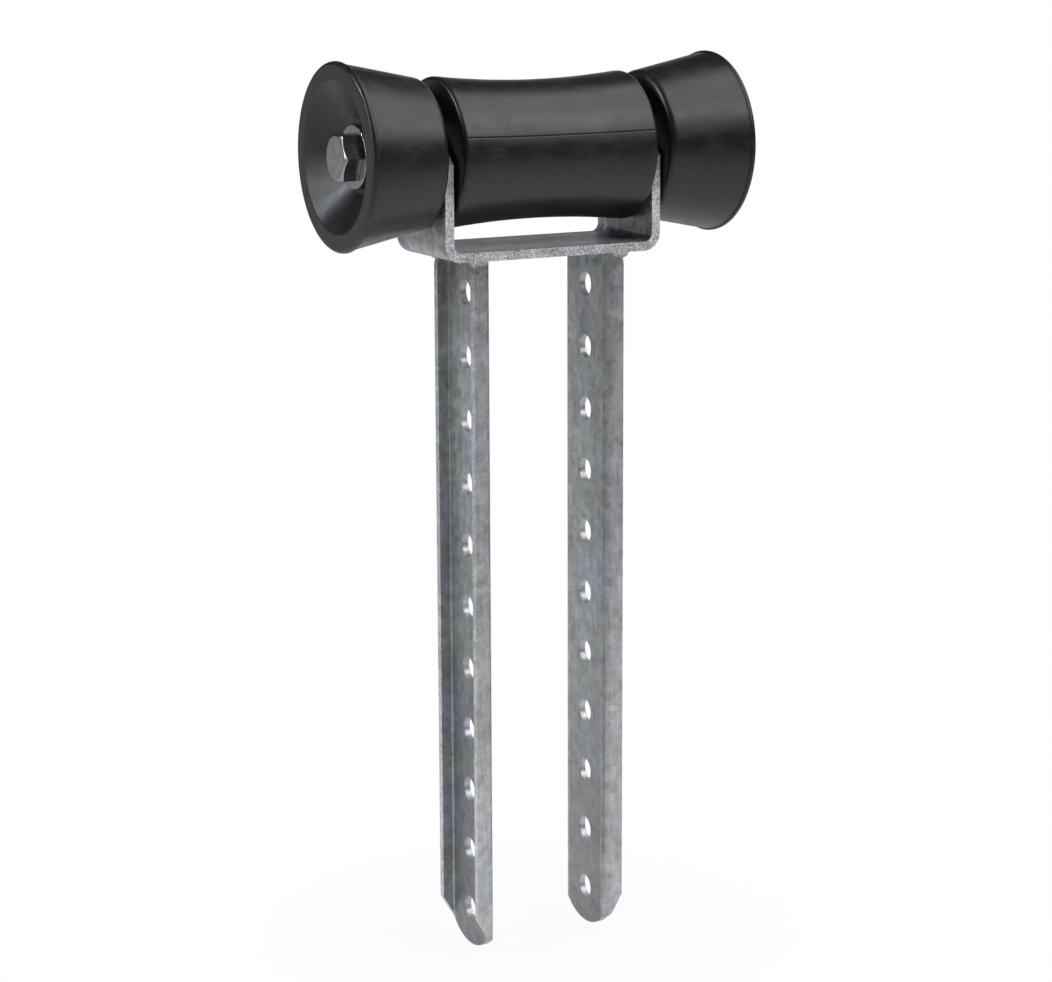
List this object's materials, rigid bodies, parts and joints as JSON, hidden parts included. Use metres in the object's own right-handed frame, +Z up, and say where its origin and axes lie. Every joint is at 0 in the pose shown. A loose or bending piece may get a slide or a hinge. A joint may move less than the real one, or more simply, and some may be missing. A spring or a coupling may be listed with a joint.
{
  "type": "keel roller bracket",
  "caption": "Keel roller bracket: rubber rollers on an axle bolt in a galvanised cradle, on perforated channel stems that straddle and bolt to a boat trailer's cross beam.",
  "frame": {"origin": "centre of the middle bolt hole, midway between the two stems", "axes": "+Z up along the stems to the rollers, +X along the axle from the bolt head to the nut, +Y from front to back"},
  "size_m": [0.2405, 0.1, 0.4965],
  "materials": {
    "rubber": "black moulded rubber, satin, lightly scuffed at the edges",
    "galvanised_steel": "hot-dip galvanised, dull mottled grey with brighter sheared edges",
    "zinc_plated_steel": "bright zinc plated",
    "nylon": "blue nylon insert"
  },
  "bodies": {
    "bracket": {"cradle": "galvanised_steel", "left_stem": "galvanised_steel", "right_stem": "galvanised_steel", "weld_left_front": "galvanised_steel", "weld_left_back": "galvanised_steel", "weld_right_front": "galvanised_steel", "weld_right_back": "galvanised_steel", "axle_bolt": "zinc_plated_steel", "head_washer": "zinc_plated_steel", "nut_washer": "zinc_plated_steel", "lock_nut": "zinc_plated_steel", "lock_nut_ring": "nylon", "left_sleeve": "galvanised_steel", "centre_sleeve": "galvanised_steel", "right_sleeve": "galvanised_steel"},
    "left_roller": {"left_roller": "rubber"},
    "centre_roller": {"centre_roller": "rubber"},
    "right_roller": {"right_roller": "rubber"}
  },
  "joints": [
    {"name": "left_roller_spin", "type": "hinge", "parent": "bracket", "child": "left_roller", "pos_m": [0, 0, 0.2505], "axis": [1, 0, 0], "continuous": true},
    {"name": "centre_roller_spin", "type": "hinge", "parent": "bracket", "child": "centre_roller", "pos_m": [0, 0, 0.2505], "axis": [1, 0, 0], "continuous": true},
    {"name": "right_roller_spin", "type": "hinge", "parent": "bracket", "child": "right_roller", "pos_m": [0, 0, 0.2505], "axis": [1, 0, 0], "continuous": true}
  ]
}
